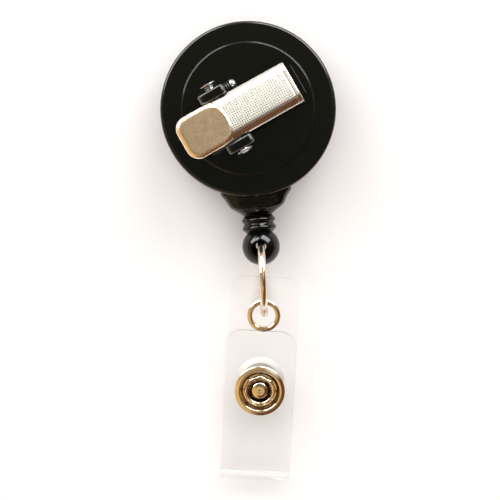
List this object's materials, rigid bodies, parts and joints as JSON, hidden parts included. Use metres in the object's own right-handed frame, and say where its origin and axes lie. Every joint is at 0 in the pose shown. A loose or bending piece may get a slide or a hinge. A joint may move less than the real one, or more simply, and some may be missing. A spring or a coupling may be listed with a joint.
{
  "type": "retractable badge reel",
  "caption": "Round spring-wound badge reel with a rotating spring clip on its back and a clear snap strap hung from a link ring on the cord's end fitting.",
  "frame": {"origin": "spool axis at the flat front face, on which the reel lies with its clip up", "axes": "+Z from the front face towards the clip, the cord and strap leave along -Y, +X to the right seen from the clip side"},
  "size_m": [0.032, 0.0854, 0.0189],
  "materials": {
    "case_black": "moulded semi-gloss black",
    "fitting_black": "moulded gloss black",
    "clip_black": "moulded gloss black",
    "acetal": "natural white moulding",
    "spring_steel": "rolled spring steel",
    "cord": "braided nylon",
    "clear_vinyl": "clear flexible vinyl",
    "polished_nickel": "bright nickel plate",
    "satin_nickel": "satin nickel plate with a pressed cross-hatch"
  },
  "bodies": {
    "case": {"front_shell": "case_black", "back_shell": "case_black"},
    "spool_drum": {"spool": "acetal", "power_spring": "spring_steel", "cord_winding": "cord", "cord_anchor_knot": "cord"},
    "cord_tail": {"cord_run": "cord", "cord_end_knot": "cord"},
    "cord_end": {"cord_end_fitting": "fitting_black"},
    "ring": {"link_ring": "polished_nickel"},
    "strap": {"strap_back": "clear_vinyl", "strap_eyelet": "polished_nickel", "eyelet_washer": "polished_nickel", "snap_cap": "polished_nickel", "snap_stud": "polished_nickel"},
    "flap": {"strap_flap": "clear_vinyl", "socket_eyelet": "polished_nickel", "socket_spring": "spring_steel", "snap_socket": "polished_nickel"},
    "clip_foot": {"swivel_base": "clip_black", "swivel_rivet": "polished_nickel", "rivet_washer": "spring_steel", "hinge_pin": "polished_nickel", "clip_spring": "spring_steel"},
    "lever": {"clip_lever": "satin_nickel"}
  },
  "joints": [
    {"name": "cord_pull", "type": "slide", "parent": "case", "child": "cord_tail", "axis": [0, -1, 0], "range_m": [0, 0.8], "stiffness_N_per_m": 0.6, "springref_m": -1.2, "deforming": ["cord_run", "cord_winding"]},
    {"name": "spool_spin", "type": "hinge", "parent": "case", "child": "spool_drum", "pos_m": [0, 0, 0.006], "axis": [0, 0, -1], "range_deg": [0, 4330], "deforming": ["power_spring"]},
    {"name": "fitting_spin", "type": "hinge", "parent": "cord_tail", "child": "cord_end", "pos_m": [0, -0.0251, 0.006], "axis": [0, -1, 0], "continuous": true},
    {"name": "ring_swing", "type": "hinge", "parent": "cord_end", "child": "ring", "pos_m": [0, -0.0251, 0.006], "axis": [0, 0, 1], "range_deg": [-70, 70]},
    {"name": "strap_tilt", "type": "hinge", "parent": "ring", "child": "strap", "pos_m": [-0.00029, -0.03104, 0.00705], "axis": [-0.9988, 0.0488, 0], "range_deg": [-90, 90]},
    {"name": "flap_open", "type": "hinge", "parent": "strap", "child": "flap", "pos_m": [-0.00534, -0.06858, 0.00129], "axis": [0.9889, -0.1487, 0], "range_deg": [0, 150]},
    {"name": "clip_swivel", "type": "hinge", "parent": "case", "child": "clip_foot", "pos_m": [0, 0, 0.012], "axis": [0, 0, 1], "continuous": true},
    {"name": "lever_open", "type": "hinge", "parent": "clip_foot", "child": "lever", "pos_m": [-0.00397, -0.00181, 0.016], "axis": [0.4147, -0.91, 0], "range_deg": [0, 25], "stiffness_Nm_per_rad": 0.06, "springref_deg": -22.92, "deforming": ["clip_spring"]}
  ],
  "couplings": [
    {"joint": "spool_spin", "follows": "cord_pull", "rad_per_m": 94.3}
  ]
}
